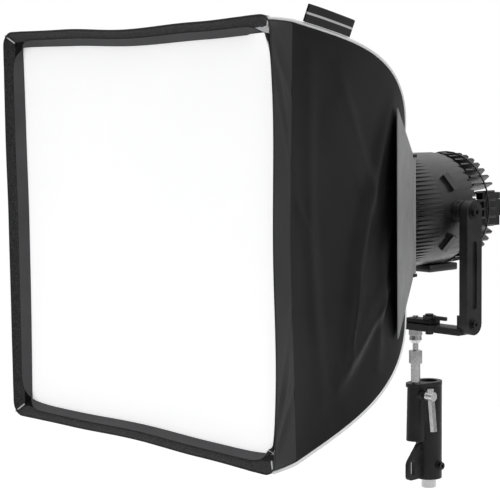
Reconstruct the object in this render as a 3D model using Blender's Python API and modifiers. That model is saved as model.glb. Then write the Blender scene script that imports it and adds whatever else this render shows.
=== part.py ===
"""Studio softbox: a square fabric bag on a round finned lamp head, its yoke, spigot and stand adapter.

Metres, +Z up. The light points along -Y. The origin is the centre of the stand stud's flat lower end,
and the stud's axis is the Z axis.
"""

import math

import bmesh
import bpy
from mathutils import Matrix, Vector

GAP = 0.0003

# Stand adapter and spigot
STUD_RADIUS = 0.0127
SOCKET_OFFSET = 0.034
PIN_RADIUS = 0.008
ADAPTER_BOTTOM = 0.017
ADAPTER_TOP = 0.186
T_SCREW_Z = 0.167
EAR_TOP = 0.079

# Yoke
HEAD_Y = -SOCKET_OFFSET
BAR_BOTTOM = 0.2793
BAR_TOP = 0.2905
HUB_Z = 0.2985
AXIS_Z = 0.4835
ARM_INNER = 0.109
ARM_OUTER = 0.126
CLAMP_X = 0.031

# Lamp head, measured along its axis from the bag's front plane
PIVOT_DEPTH = 0.616
DOOR_PIN_DEPTH = 0.4905
DOOR_PIN_OUT = 0.107
FRAME_HALF = 0.1015
FRAME_FRONT = 0.4870
BARREL_FRONT = 0.4950
BARREL_REAR = 0.578
BODY_REAR = 0.668
CORE_REAR = 0.690
FIN_REAR = 0.730
FIN_COUNT = 40
BODY_RADIUS = 0.0945
FIN_RADIUS = 0.093

# Bag
FRONT_HALF = 0.300
NECK_HALF = 0.103
LIP_DEPTH = 0.0465
NECK_DEPTH = 0.468
SLEEVE_END = 0.4855
CLOTH = 0.0016
SEAM_INSET = 0.0045
PANEL_START = LIP_DEPTH + GAP
ROD_DEPTH = 0.056
ROD_INSET = 0.0095
EDGE_BOW = {"near": -0.003, "top": 0.006, "far": -0.004, "bottom": 0.003}
FLAP_END = 0.0215
FLAP_INSET = 0.0245
DIFFUSER_DEPTH = 0.0225
DIFFUSER_INSET = 0.0225
BAFFLE_DEPTH = 0.240
PANEL_HOLLOW = 0.030
FRONT_SAG = 0.006
SIDES = {"near": 0, "top": 1, "far": 2, "bottom": 3}

LEAF_ANGLE = math.radians(34)
LEAF_LENGTH = 0.177


def clear_scene():
    for obj in list(bpy.data.objects):
        bpy.data.objects.remove(obj, do_unlink=True)


def new_collection(name, hidden=False):
    collection = bpy.data.collections.new(name)
    bpy.context.scene.collection.children.link(collection)
    collection.hide_render = hidden
    return collection


def material(name, colour, roughness, metallic=0.0):
    made = bpy.data.materials.new(name)
    made.use_nodes = True
    shader = made.node_tree.nodes["Principled BSDF"]
    shader.inputs["Base Color"].default_value = (*colour, 1.0)
    shader.inputs["Roughness"].default_value = roughness
    shader.inputs["Metallic"].default_value = metallic
    return made


clear_scene()
PARTS = new_collection("studio_softbox")
CUTTERS = new_collection("cutters", hidden=True)

NYLON = material("black_nylon", (0.025, 0.025, 0.027), 0.75)
LOOP_BAND = material("loop_band", (0.02, 0.02, 0.02), 0.95)
WHITE_CLOTH = material("white_diffuser", (0.95, 0.95, 0.94), 0.8)
PIPING = material("pale_piping", (0.6, 0.6, 0.6), 0.6)
ROD = material("rod", (0.05, 0.05, 0.05), 0.4)
GREY_SHEET = material("grey_sheet", (0.28, 0.28, 0.29), 0.45, 0.3)
BLACK_METAL = material("black_metal", (0.03, 0.03, 0.032), 0.45, 0.3)
CASTING = material("black_casting", (0.03, 0.03, 0.032), 0.5, 0.2)
STEEL = material("bright_steel", (0.75, 0.75, 0.76), 0.25, 1.0)
GLASS = material("lens_glass", (0.8, 0.85, 0.88), 0.05)
LED = material("led_yellow", (0.9, 0.75, 0.2), 0.4)
WEBBING = material("pale_webbing", (0.7, 0.7, 0.7), 0.7)


def add_mesh(name, bm, finish, collection=PARTS):
    """A new object from a bmesh, with its doubles merged and its faces turned outwards."""
    bmesh.ops.remove_doubles(bm, verts=bm.verts, dist=0.00001)
    bmesh.ops.recalc_face_normals(bm, faces=bm.faces)
    mesh = bpy.data.meshes.new(name)
    bm.to_mesh(mesh)
    bm.free()
    mesh.shade_smooth()
    mesh.set_sharp_from_angle(angle=math.radians(35))
    obj = bpy.data.objects.new(name, mesh)
    collection.objects.link(obj)
    if finish:
        mesh.materials.append(finish)
    if collection is CUTTERS:
        obj.hide_render = True
        obj.display_type = "WIRE"
    return obj


def depth_y(depth):
    """The Y of a point at this depth behind the bag's front plane."""
    return HEAD_Y + depth - PIVOT_DEPTH


AXES = {
    "X": Matrix.Rotation(math.pi / 2, 4, "Y"),
    "Y": Matrix.Rotation(-math.pi / 2, 4, "X"),
    "Z": Matrix.Identity(4),
}


def add_box(bm, low, high):
    size = Vector(high) - Vector(low)
    place = Matrix.Translation((Vector(high) + Vector(low)) / 2) @ Matrix.Diagonal((*size, 1))
    return bmesh.ops.create_cube(bm, size=1, matrix=place)


def add_round(bm, start, length, radius, axis="Z", end_radius=None, sides=32):
    """A cylinder or cone that starts at a point and runs along +axis."""
    far = radius if end_radius is None else end_radius
    place = Matrix.Translation(start) @ AXES[axis] @ Matrix.Translation((0, 0, length / 2))
    bmesh.ops.create_cone(
        bm, cap_ends=True, segments=sides, radius1=radius, radius2=far, depth=length, matrix=place
    )


def box(name, low, high, finish, bevel=0.0, collection=PARTS):
    bm = bmesh.new()
    add_box(bm, low, high)
    obj = add_mesh(name, bm, finish, collection)
    if bevel:
        add_bevel(obj, bevel)
    return obj


def rod(name, start, length, radius, finish, axis="Z", end_radius=None, sides=32, collection=PARTS):
    bm = bmesh.new()
    add_round(bm, start, length, radius, axis, end_radius, sides)
    return add_mesh(name, bm, finish, collection)


def add_bevel(obj, width, segments=2):
    bevel = obj.modifiers.new("soft_edges", "BEVEL")
    bevel.width = width
    bevel.segments = segments
    bevel.limit_method = "ANGLE"


def boolean(obj, other, operation):
    modifier = obj.modifiers.new(f"{operation.lower()}_{len(obj.modifiers)}", "BOOLEAN")
    modifier.operation = operation
    modifier.object = other
    modifier.solver = "EXACT"
    other.hide_render = True
    other.display_type = "WIRE"


def cut_round(obj, start, length, radius, axis="Z", end_radius=None, sides=32):
    cutter = rod(f"{obj.name}_cut", start, length, radius, None, axis, end_radius, sides, CUTTERS)
    boolean(obj, cutter, "DIFFERENCE")


def cut_box(obj, low, high):
    boolean(obj, box(f"{obj.name}_cut", low, high, None, collection=CUTTERS), "DIFFERENCE")


def join(obj, other):
    """Adds another solid to this one; the other stays as a hidden helper."""
    for collection in list(other.users_collection):
        collection.objects.unlink(other)
    CUTTERS.objects.link(other)
    boolean(obj, other, "UNION")


def turned(name, profile, finish, sides=40, collection=PARTS):
    """A ring or disc turned about the lamp's axis, from a closed outline of (radius, depth) points."""
    bm = bmesh.new()
    verts = [bm.verts.new((radius, depth_y(depth), AXIS_Z)) for radius, depth in profile]
    for first, second in zip(verts, verts[1:] + verts[:1]):
        bm.edges.new((first, second))
    bmesh.ops.spin(
        bm,
        geom=bm.verts[:] + bm.edges[:],
        angle=2 * math.pi,
        steps=sides,
        axis=(0, 1, 0),
        cent=(0, 0, AXIS_Z),
        use_merge=True,
    )
    return add_mesh(name, bm, finish, collection)


def plate(name, outline, thickness, place, finish, collection=PARTS):
    """A flat plate: a closed outline in its own XY plane, given a thickness about that plane."""
    curve = bpy.data.curves.new(name, "CURVE")
    curve.dimensions = "2D"
    curve.fill_mode = "BOTH"
    curve.extrude = thickness / 2
    spline = curve.splines.new("POLY")
    spline.points.add(len(outline) - 1)
    for point, (x, y) in zip(spline.points, outline):
        point.co = (x, y, 0, 1)
    spline.use_cyclic_u = True
    return curve_to_mesh(name, curve, place, finish, collection)


def tube(name, points, radius, finish, resolution=2, collection=PARTS):
    curve = bpy.data.curves.new(name, "CURVE")
    curve.dimensions = "3D"
    curve.bevel_depth = radius
    curve.bevel_resolution = resolution
    curve.use_fill_caps = True
    spline = curve.splines.new("POLY")
    spline.points.add(len(points) - 1)
    for point, place in zip(spline.points, points):
        point.co = (*place, 1)
    return curve_to_mesh(name, curve, Matrix.Identity(4), finish, collection)


def curve_to_mesh(name, curve, place, finish, collection):
    """The curve's evaluated surface as a welded mesh, so that it can be cut and joined."""
    source = bpy.data.objects.new(name, curve)
    bpy.context.scene.collection.objects.link(source)
    graph = bpy.context.evaluated_depsgraph_get()
    mesh = bpy.data.meshes.new_from_object(source.evaluated_get(graph))
    bpy.data.objects.remove(source, do_unlink=True)
    bm = bmesh.new()
    bm.from_mesh(mesh)
    bpy.data.meshes.remove(mesh)
    bm.transform(place)
    return add_mesh(name, bm, finish, collection)


def arc(centre, radius, start, end, steps):
    """Points on an arc, with angles in degrees."""
    angles = [math.radians(start + (end - start) * i / steps) for i in range(steps + 1)]
    return [(centre[0] + radius * math.cos(a), centre[1] + radius * math.sin(a)) for a in angles]


def stadium(low, high, radius, steps=10):
    """The outline of a bar with two round ends, upright between two centres."""
    return arc(high, radius, 0, 180, steps) + arc(low, radius, 180, 360, steps)


YZ_PLANE = Matrix(((0, 0, 1, 0), (1, 0, 0, 0), (0, 1, 0, 0), (0, 0, 0, 1)))


# ---------------------------------------------------------------- bag

def seam_half(depth):
    """Half the bag's width between its corner seams: a slow taper that turns in hard at the neck."""
    u = depth / NECK_DEPTH
    return FRONT_HALF - (FRONT_HALF - NECK_HALF) * (0.41 * u + 0.59 * u**4)


def hollow(side, depth):
    """How far the middle of a side is pulled in between its two seams."""
    u = depth / NECK_DEPTH
    return EDGE_BOW[side] * (1 - u) + PANEL_HOLLOW * math.sin(math.pi * u)


def bag_point(side, depth, across, inset, from_seam=SEAM_INSET):
    """A point of a side's skin: across runs from -1 to 1 between the seams, inset goes inwards."""
    half = seam_half(depth)
    out = half - hollow(side, depth) * (1 - across**2) - inset
    along = across * (half - from_seam)
    turn = SIDES[side] * math.pi / 2
    x = out * math.cos(turn) - along * math.sin(turn)
    z = out * math.sin(turn) + along * math.cos(turn)
    drop = FRONT_SAG * (1 - depth / NECK_DEPTH)
    return Vector((x, depth_y(depth), AXIS_Z - drop + z))


def cloth_shell(name, point_at, rows, columns, finish):
    """A closed cloth solid between an outer and an inner grid of points."""
    bm = bmesh.new()
    skins = []
    for inset in (0.0, 1.0):
        skins.append(
            [[bm.verts.new(point_at(r / rows, c / columns, inset)) for c in range(columns + 1)]
             for r in range(rows + 1)]
        )
    for skin in skins:
        for r in range(rows):
            for c in range(columns):
                bm.faces.new((skin[r][c], skin[r + 1][c], skin[r + 1][c + 1], skin[r][c + 1]))
    outer, inner = skins
    rim = [(r, 0) for r in range(rows)]
    rim += [(rows, c) for c in range(columns)]
    rim += [(r, columns) for r in range(rows, 0, -1)]
    rim += [(0, c) for c in range(columns, 0, -1)]
    for (r, c), (r2, c2) in zip(rim, rim[1:] + rim[:1]):
        bm.faces.new((outer[r][c], outer[r2][c2], inner[r2][c2], inner[r][c]))
    return add_mesh(name, bm, finish)


def bag_strip(name, side, start, end, rows, thickness, finish, from_seam=SEAM_INSET):
    def point_at(r, c, inset):
        depth = start + (end - start) * r
        return bag_point(side, depth, 2 * c - 1, inset * thickness, from_seam)

    return cloth_shell(name, point_at, rows, 8, finish)


def diffuser(name, depth, clearance, thickness):
    """A white cloth stretched across the bag, its corners notched where the corner rods pass."""
    half = seam_half(depth) - clearance

    def point_at(r, c, inset):
        across, up = 2 * c - 1, 2 * r - 1
        x = across * (half - hollow("near" if across > 0 else "far", depth) * (1 - up**2))
        z = up * (half - hollow("top" if up > 0 else "bottom", depth) * (1 - across**2))
        drop = FRONT_SAG * (1 - depth / NECK_DEPTH)
        return Vector((x, depth_y(depth + thickness * inset), AXIS_Z - drop + z))

    cloth = cloth_shell(name, point_at, 8, 8, WHITE_CLOTH)
    corners = [(x, z) for x in (1, -1) for z in (1, -1)] if depth > ROD_DEPTH else []
    for x, z in corners:
        corner = Vector(seam_line(x, z, depth, depth, ROD_INSET, 1)[0])
        notch = Vector((0.006, 0.010, 0.006))
        reach = Vector((x * 0.02, 0, z * 0.02))
        low = [min(a, b) for a, b in zip(corner - notch, corner - notch + reach)]
        high = [max(a, b) for a, b in zip(corner + notch, corner + notch + reach)]
        cut_box(cloth, low, high)
    return cloth


def seam_line(x_side, z_side, start, end, inset, steps=10):
    points = []
    for i in range(steps + 1):
        depth = start + (end - start) * i / steps
        half = seam_half(depth) - inset
        drop = FRONT_SAG * (1 - depth / NECK_DEPTH)
        points.append((x_side * half, depth_y(depth), AXIS_Z - drop + z_side * half))
    return points


def build_lip(side):
    """A band that stands forward of the diffuser, with a loop-tape flap sloping in from its front edge."""
    band = bag_strip(f"lip_{side}", side, 0.0, LIP_DEPTH, 2, 2 * CLOTH, LOOP_BAND)

    def flap_point(r, c, inset):
        depth = 0.0006 + (FLAP_END - 0.0006) * r
        slope = CLOTH + (FLAP_INSET - CLOTH) * r
        from_seam = SEAM_INSET + slope
        return bag_point(side, depth, 2 * c - 1, slope + inset * CLOTH, from_seam)

    join(band, cloth_shell(f"flap_{side}", flap_point, 1, 8, None))


def build_bag():
    for side in SIDES:
        build_lip(side)
    for side in ("near", "far"):
        bag_strip(f"side_panel_{side}", side, PANEL_START, NECK_DEPTH, 10, CLOTH, NYLON)
    for side, z in (("top", 1), ("bottom", -1)):
        panel = bag_strip(f"side_panel_{side}", side, PANEL_START, NECK_DEPTH, 10, CLOTH, NYLON, 0.0)
        for x in (1, -1):
            seam = seam_line(x, z, PANEL_START + 0.001, NECK_DEPTH - 0.001, 0.0)
            join(panel, tube("piping", seam, 0.0025, None, 1))
    diffuser("front_diffuser", DIFFUSER_DEPTH, DIFFUSER_INSET, 0.0012)
    diffuser("inner_baffle", BAFFLE_DEPTH, 0.0045, 0.0010)
    build_sleeve()
    build_rods()


def build_sleeve():
    outer = NECK_HALF + 0.001
    sleeve = box(
        "rear_sleeve",
        (-outer, depth_y(NECK_DEPTH + 3 * GAP + 0.002), AXIS_Z - outer),
        (outer, depth_y(SLEEVE_END), AXIS_Z + outer),
        NYLON,
    )
    inner = outer - 0.002
    cut_box(
        sleeve,
        (-inner, depth_y(NECK_DEPTH - 0.01), AXIS_Z - inner),
        (inner, depth_y(SLEEVE_END + 0.01), AXIS_Z + inner),
    )


def small_block(name, middle, half_size, collection=PARTS):
    size = Vector(half_size)
    return box(name, middle - size, middle + size, BLACK_METAL, collection=collection)


def build_rods():
    """Front frame of four two-part rods with a folding elbow, and a rod down each corner seam."""
    inset = 2 * CLOTH + 0.0060
    for side in SIDES:
        points = [bag_point(side, ROD_DEPTH, 0.94 * (1 - i / 4), inset) for i in range(9)]
        frame_rod = tube(f"frame_rod_{side}", points, 0.0025, ROD, 1)
        length_axis = 2 if side in ("near", "far") else 0
        size = [0.0035, 0.0035, 0.0035]
        size[length_axis] = 0.018
        join(frame_rod, small_block("elbow", bag_point(side, ROD_DEPTH, 0, inset), size))
    for x, x_name in ((1, "near"), (-1, "far")):
        for z, z_name in ((1, "top"), (-1, "bottom")):
            seam = seam_line(x, z, ROD_DEPTH, NECK_DEPTH - 0.009, ROD_INSET)
            corner_rod = tube(f"corner_rod_{x_name}_{z_name}", seam, 0.002, ROD, 1)
            join(corner_rod, small_block("connector", Vector(seam[0]), (0.0045, 0.0045, 0.0045)))


def build_label():
    """A folded woven tag sewn into the near top seam, leaning outwards as it stands up."""
    lean = Vector((0.45, 0, 0.89)).normalized()
    start = Vector(seam_line(1, 1, 0.068, 0.068, 0.0, 1)[0])
    end = Vector(seam_line(1, 1, 0.175, 0.175, 0.0, 1)[0])
    along = (end - start).normalized()
    length = (end - start).length
    thick = along.cross(lean).normalized()
    place = Matrix((
        (along.x, lean.x, thick.x, start.x),
        (along.y, lean.y, thick.y, start.y),
        (along.z, lean.z, thick.z, start.z),
        (0, 0, 0, 1),
    ))
    outline = [(0, 0.0035), (length, 0.0035), (length, 0.029), (0, 0.029)]
    plate("label_tag", outline, 0.002, place, NYLON)


def build_strap():
    """A short webbing pull strap that hangs from the sleeve's lower edge."""
    bottom = AXIS_Z - NECK_HALF - 0.0015
    points = [
        (0.012, depth_y(SLEEVE_END - 0.0075), bottom - 0.0025),
        (0.010, depth_y(SLEEVE_END + 0.0075), bottom - 0.0080),
        (0.008, depth_y(SLEEVE_END + 0.0225), bottom - 0.0200),
        (0.007, depth_y(SLEEVE_END + 0.0345), bottom - 0.0380),
    ]
    half_thick, half_wide = 0.0008, 0.006
    bm = bmesh.new()
    rings = []
    for x, y, z in points:
        rings.append([
            bm.verts.new((x + half_wide, y, z - half_thick)),
            bm.verts.new((x + half_wide, y, z + half_thick)),
            bm.verts.new((x - half_wide, y, z + half_thick)),
            bm.verts.new((x - half_wide, y, z - half_thick)),
        ])
    for ring, after in zip(rings, rings[1:]):
        for i in range(4):
            bm.faces.new((ring[i], ring[(i + 1) % 4], after[(i + 1) % 4], after[i]))
    bm.faces.new(rings[0])
    bm.faces.new(rings[-1])
    add_mesh("pull_strap", bm, WEBBING)


# ---------------------------------------------------------------- leaves

def hinge_frame(turn, out, angle):
    """The frame of a leaf: its Y runs from the pin to the leaf's outer edge, its X along the pin."""
    local = Matrix.Translation((out, depth_y(DOOR_PIN_DEPTH), 0)) @ Matrix((
        (0, math.sin(angle), math.cos(angle), 0),
        (0, -math.cos(angle), math.sin(angle), 0),
        (1, 0, 0, 0),
        (0, 0, 0, 1),
    ))
    spin = Matrix.Rotation(-turn, 4, "Y")
    return Matrix.Translation((0, 0, AXIS_Z)) @ spin @ local


def build_leaf(name, turn, out, angle, length, inner_half, outer_half, knuckle_half):
    place = hinge_frame(turn, out, angle)
    start, ear_clear, full = 0.0035, 0.007, 0.014
    outline = [(knuckle_half, start), (knuckle_half, ear_clear), (inner_half, full)]
    outline += [(outer_half, length), (-outer_half, length), (-inner_half, full)]
    outline += [(-knuckle_half, ear_clear), (-knuckle_half, start)]
    leaf = plate(name, outline, 0.0016, place, GREY_SHEET)
    knuckle = rod(f"{name}_knuckle", (0, 0, -knuckle_half), 2 * knuckle_half, 0.0038, None, sides=16,
                  collection=CUTTERS)
    bore = rod(f"{name}_bore", (0, 0, -inner_half), 2 * inner_half, 0.0018, None, sides=16,
               collection=CUTTERS)
    turn_to_pin = place @ Matrix.Rotation(math.pi / 2, 4, "Y")
    for helper in (knuckle, bore):
        helper.data.transform(turn_to_pin)
    boolean(leaf, knuckle, "UNION")
    boolean(leaf, bore, "DIFFERENCE")
    return leaf


def build_leaves():
    build_leaf("leaf_near", 0, DOOR_PIN_OUT, LEAF_ANGLE, LEAF_LENGTH, 0.100, 0.1715, 0.0915)
    build_leaf("leaf_far", math.pi, DOOR_PIN_OUT, LEAF_ANGLE, LEAF_LENGTH, 0.100, 0.1715, 0.0915)
    inside = 0.0945
    build_leaf("leaf_top", math.pi / 2, inside, math.radians(14), 0.120, 0.082, 0.112, 0.076)
    build_leaf("leaf_bottom", -math.pi / 2, inside, math.radians(14), 0.120, 0.082, 0.112, 0.076)


def build_door_frame():
    """Square plate with a round window; two ears on each side carry the pin of that side's leaf."""
    half = FRAME_HALF
    y0, y1 = depth_y(FRAME_FRONT), depth_y(BARREL_FRONT) - GAP
    frame = box("door_frame", (-half, y0, AXIS_Z - half), (half, y1, AXIS_Z + half), BLACK_METAL)
    cut_round(frame, (0, y0 - 0.01, AXIS_Z), 0.04, 0.084, "Y", sides=48)
    pin_y = depth_y(DOOR_PIN_DEPTH)
    for x in (1, -1):
        for z in (1, -1):
            low_x, high_x = sorted((x * 0.0955, x * 0.1112))
            low_z, high_z = sorted((AXIS_Z + z * 0.0925, AXIS_Z + z * 0.0975))
            ear = box("ear", (low_x, y0 + 0.0002, low_z), (high_x, y1 - 0.0002, high_z), BLACK_METAL)
            join(frame, ear)
    for x in (1, -1):
        cut_round(frame, (x * DOOR_PIN_OUT, pin_y, AXIS_Z - 0.11), 0.22, 0.0018, "Z", sides=16)
    for z in (1, -1):
        low_z, high_z = sorted((AXIS_Z + z * 0.0895, AXIS_Z + z * 0.0995))
        cut_box(frame, (-0.0765, y0 - 0.01, low_z), (0.0765, y1 + 0.01, high_z))
        cut_round(frame, (-0.09, pin_y, AXIS_Z + z * 0.0945), 0.18, 0.0018, "X", sides=16)
    for name, x in (("near", 1), ("far", -1)):
        start = (x * DOOR_PIN_OUT, pin_y, AXIS_Z - 0.0985)
        rod(f"leaf_pin_{name}", start, 0.197, 0.0015, STEEL, sides=12)
    for name, z in (("top", 1), ("bottom", -1)):
        start = (-0.085, pin_y, AXIS_Z + z * 0.0945)
        rod(f"leaf_pin_{name}", start, 0.170, 0.0015, STEEL, "X", sides=12)


# ---------------------------------------------------------------- lamp head

RIB_COUNT = 76
RIB_FOOT = 0.07
RIB_PEAK = 0.12


def rib_ring(share):
    """A ring round the barrel at this share of its length, toothed where it crosses the ribs.

    The ribs rise from a smooth collar at RIB_FOOT, stand proudest at RIB_PEAK and fade out backwards.
    At the sides they start further back than above and below.
    """
    steps = 4 * RIB_COUNT
    length = BARREL_REAR - BARREL_FRONT
    ring = []
    for i in range(steps):
        angle = 2 * math.pi * (i + 0.5) / steps
        on_rib = i % 4 < 2
        proud = 0.0056 * (1 - share) if on_rib and share > RIB_FOOT else 0.0
        set_back = 0.015 * math.cos(angle) ** 2 if RIB_FOOT <= share <= RIB_PEAK else 0.0
        radius = 0.0905 + 0.0038 * share + proud
        depth = BARREL_FRONT + length * share + set_back
        ring.append((radius * math.cos(angle), depth_y(depth), AXIS_Z + radius * math.sin(angle)))
    return ring


def build_barrel():
    """A tube whose outside is lofted through toothed rings, to give it fading ribs."""
    bm = bmesh.new()
    outside = [rib_ring(share) for share in (0.0, RIB_FOOT, RIB_PEAK, 1.0)]
    bore = 0.0875
    inside = []
    for ring in (outside[-1], outside[0]):
        smooth = []
        for x, y, z in ring:
            out = Vector((x, 0, z - AXIS_Z)).normalized() * bore
            smooth.append((out.x, y, AXIS_Z + out.z))
        inside.append(smooth)
    loops = [[bm.verts.new(point) for point in ring] for ring in outside + inside]
    steps = len(loops[0])
    for loop, after in zip(loops, loops[1:] + loops[:1]):
        for i in range(steps):
            j = (i + 1) % steps
            bm.faces.new((loop[i], loop[j], after[j], after[i]))
    add_mesh("ribbed_barrel", bm, BLACK_METAL)


def across_axis(depth):
    """A frame whose XY plane crosses the lamp's axis at this depth."""
    return Matrix.Translation((0, depth_y(depth), AXIS_Z)) @ Matrix.Rotation(math.pi / 2, 4, "X")


def slot_outline():
    """A toothed disc, which cuts a slot into the body's rear edge between each two fins."""
    outline = []
    for i in range(FIN_COUNT):
        middle = 2 * math.pi * (i + 0.5) / FIN_COUNT
        for turn, radius in ((-0.026, 0.070), (-0.026, 0.105), (0.026, 0.105), (0.026, 0.070)):
            outline.append((radius * math.cos(middle + turn), radius * math.sin(middle + turn)))
    return outline


def build_body():
    front = BARREL_REAR + GAP
    turned("body_shell", [
        (BODY_RADIUS, front), (BODY_RADIUS + 0.0005, front + 0.03), (BODY_RADIUS, BODY_REAR - 0.012),
        (BODY_RADIUS - 0.003, BODY_REAR - 0.002), (BODY_RADIUS - 0.006, BODY_REAR),
        (BODY_RADIUS - 0.009, BODY_REAR), (BODY_RADIUS - 0.006, BODY_REAR - 0.012),
        (BODY_RADIUS - 0.004, front),
    ], BLACK_METAL)
    shell = bpy.data.objects["body_shell"]
    for x in (1, -1):
        low = min(x * 0.080, x * 0.100)
        cut_round(shell, (low, HEAD_Y, AXIS_Z), 0.020, 0.0053, "X", sides=24)
    slots = plate("rear_slots", slot_outline(), 0.026, across_axis(BODY_REAR), None, CUTTERS)
    boolean(shell, slots, "DIFFERENCE")


def build_optics():
    turned("lens_ring", [(0.0872, 0.5085), (0.0872, 0.5135), (0.0790, 0.5135), (0.0790, 0.5085)], BLACK_METAL)
    turned("stepped_lens", [
        (0.0870, 0.5140), (0.0870, 0.5175), (0.0, 0.5175), (0.0, 0.5125), (0.0300, 0.5110),
        (0.0300, 0.5135), (0.0550, 0.5112), (0.0550, 0.5135), (0.0780, 0.5115), (0.0780, 0.5140),
    ], GLASS, 24)
    turned("reflector", [
        (0.0300, 0.5950), (0.0330, 0.5950), (0.0450, 0.5700), (0.0620, 0.5420), (0.0600, 0.5420),
        (0.0430, 0.5700),
    ], STEEL, 32)
    turned("led_module", [(0.0, 0.5955), (0.0280, 0.5955), (0.0280, 0.6000), (0.0, 0.6000)], LED, 32)
    turned("heat_spreader", [(0.0, 0.6005), (0.0840, 0.6005), (0.0840, 0.6065), (0.0, 0.6065)], STEEL)


def fin_outline():
    """Radial fins: a toothed outline, filled in to a solid block at each side of the head."""
    outline = []
    for i in range(FIN_COUNT):
        middle = 2 * math.pi * i / FIN_COUNT
        from_side = min(middle % math.pi, math.pi - middle % math.pi)
        root = 0.087 if from_side < math.radians(17) else 0.040
        half = 0.0016
        valley = math.pi / FIN_COUNT
        for sign in (-1, 1):
            angle = middle + sign * half / FIN_RADIUS
            tip = (FIN_RADIUS * math.cos(angle), FIN_RADIUS * math.sin(angle))
            base_angle = middle + sign * min(half / root, valley * 0.8)
            base = (root * math.cos(base_angle), root * math.sin(base_angle))
            outline += [base, tip] if sign < 0 else [tip, base]
    return outline


# Three cast blocks at each side of the fins: low and high Z, how far out, how far past the fins' end.
SIDE_BLOCKS = [(-0.0296, -0.0134, 0.0872, 0.002), (-0.0130, 0.0148, 0.0912, 0.000), (0.0152, 0.0262, 0.0886, 0.002)]


def build_heatsink():
    start, end = BODY_REAR - 0.055, FIN_REAR - 0.009
    place = across_axis((start + end) / 2)
    sink = plate("rear_heatsink", fin_outline(), end - start, place, BLACK_METAL)
    envelope = turned("heatsink_envelope", [
        (0.0, start + 0.001), (0.080, start + 0.001), (0.080, BODY_REAR + 0.0015),
        (FIN_RADIUS + 0.002, BODY_REAR + 0.0015), (FIN_RADIUS + 0.002, end - 0.010),
        (FIN_RADIUS - 0.002, end - 0.001), (0.076, end - 0.001), (0.071, end - 0.006),
        (0.064, CORE_REAR), (0.0, CORE_REAR),
    ], None, 40, CUTTERS)
    boolean(sink, envelope, "INTERSECT")
    for x in (1, -1):
        for low_z, high_z, out, back in SIDE_BLOCKS:
            low_x, high_x = sorted((x * 0.074, x * out))
            block = box("side_block", (low_x, depth_y(0.686), AXIS_Z + low_z),
                        (high_x, depth_y(FIN_REAR + back), AXIS_Z + high_z), None)
            join(sink, block)
    turned("fin_ring", [
        (FIN_RADIUS + 0.0004, 0.6940), (FIN_RADIUS + 0.0024, 0.6940),
        (FIN_RADIUS + 0.0024, 0.6960), (FIN_RADIUS + 0.0004, 0.6960),
    ], BLACK_METAL)


def on_body(angle, depth, outward):
    """A frame on the body shell: Z outwards, Y along the lamp's axis, X round the body."""
    lean = math.radians(angle)
    out = Vector((math.cos(lean), 0, math.sin(lean)))
    along = Vector((0, 1, 0))
    tangent = along.cross(out)
    spot = out * (BODY_RADIUS + outward) + Vector((0, depth_y(depth), AXIS_Z))
    return Matrix((
        (tangent.x, along.x, out.x, spot.x),
        (tangent.y, along.y, out.y, spot.y),
        (tangent.z, along.z, out.z, spot.z),
        (0, 0, 0, 1),
    ))


def build_body_fittings():
    shell = bpy.data.objects["body_shell"]
    for angle, twist_angle in ((30, 20), (-33, -20), (150, -20), (213, 20)):
        bm = bmesh.new()
        add_box(bm, (-0.0155, -0.0072, -0.003), (0.0155, 0.0072, 0.006))
        twist = Matrix.Rotation(math.radians(twist_angle), 4, "Z")
        bm.transform(on_body(angle, 0.606, 0.0) @ twist)
        join(shell, add_mesh("lug", bm, None))
    low = AXIS_Z - BODY_RADIUS - 0.0135
    box("body_foot", (-0.022, depth_y(0.628), low), (0.022, depth_y(0.700), low + 0.0125), BLACK_METAL, 0.002)
    bm = bmesh.new()
    add_round(bm, (0, 0, 0), 0.010, 0.0125, sides=24)
    bm.transform(on_body(180, 0.652, 0.0006))
    inlet = add_mesh("power_inlet", bm, BLACK_METAL)
    bore = bmesh.new()
    add_round(bore, (0, 0, 0.003), 0.012, 0.009, sides=24)
    bore.transform(on_body(180, 0.652, 0.0006))
    boolean(inlet, add_mesh("inlet_bore", bore, None, CUTTERS), "DIFFERENCE")


def from_side(x_side, out, length):
    """The lower X end of something that runs outwards from a distance out on one side."""
    return out if x_side > 0 else -(out + length)


def side_bolt(name, x_side, z, start, shank_radius, washer, head_radius, head_height, key_radius):
    """A socket-head bolt along X: shank, washer (its height and radius), head and hexagon key hole."""
    def piece(piece_name, out, length, radius, sides, collection=CUTTERS):
        spot = (from_side(x_side, out, length), HEAD_Y, z)
        return rod(piece_name, spot, length, radius, STEEL, "X", sides=sides, collection=collection)

    face = ARM_OUTER + GAP
    bolt = piece(name, start, face + 0.001 - start, shank_radius, 16, PARTS)
    boolean(bolt, piece("washer", face, washer[0], washer[1], 24), "UNION")
    boolean(bolt, piece("head", face + 0.0005, head_height, head_radius, 20), "UNION")
    key_out = face + head_height - 0.0025
    boolean(bolt, piece("key", key_out, 0.010, key_radius, 6), "DIFFERENCE")


def build_pivots():
    """Bosses that stand out from the body, and the socket-head bolts that the head tilts on."""
    inner = 0.088
    length = ARM_INNER - GAP - inner
    for name, x in (("near", 1), ("far", -1)):
        spot = (from_side(x, inner, length), HEAD_Y, AXIS_Z)
        boss = rod(f"pivot_boss_{name}", spot, length, 0.019, BLACK_METAL, "X", sides=32)
        cut_round(boss, (0, HEAD_Y - 0.05, AXIS_Z), 0.10, BODY_RADIUS + 0.001, "Y", sides=64)
        cut_round(boss, (from_side(x, 0.08, 0.04), HEAD_Y, AXIS_Z), 0.04, 0.0053, "X", sides=24)
        side_bolt(f"tilt_bolt_{name}", x, AXIS_Z, 0.089, 0.0048, (0.0015, 0.012), 0.0078, 0.0065, 0.004)


# ---------------------------------------------------------------- yoke

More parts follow.
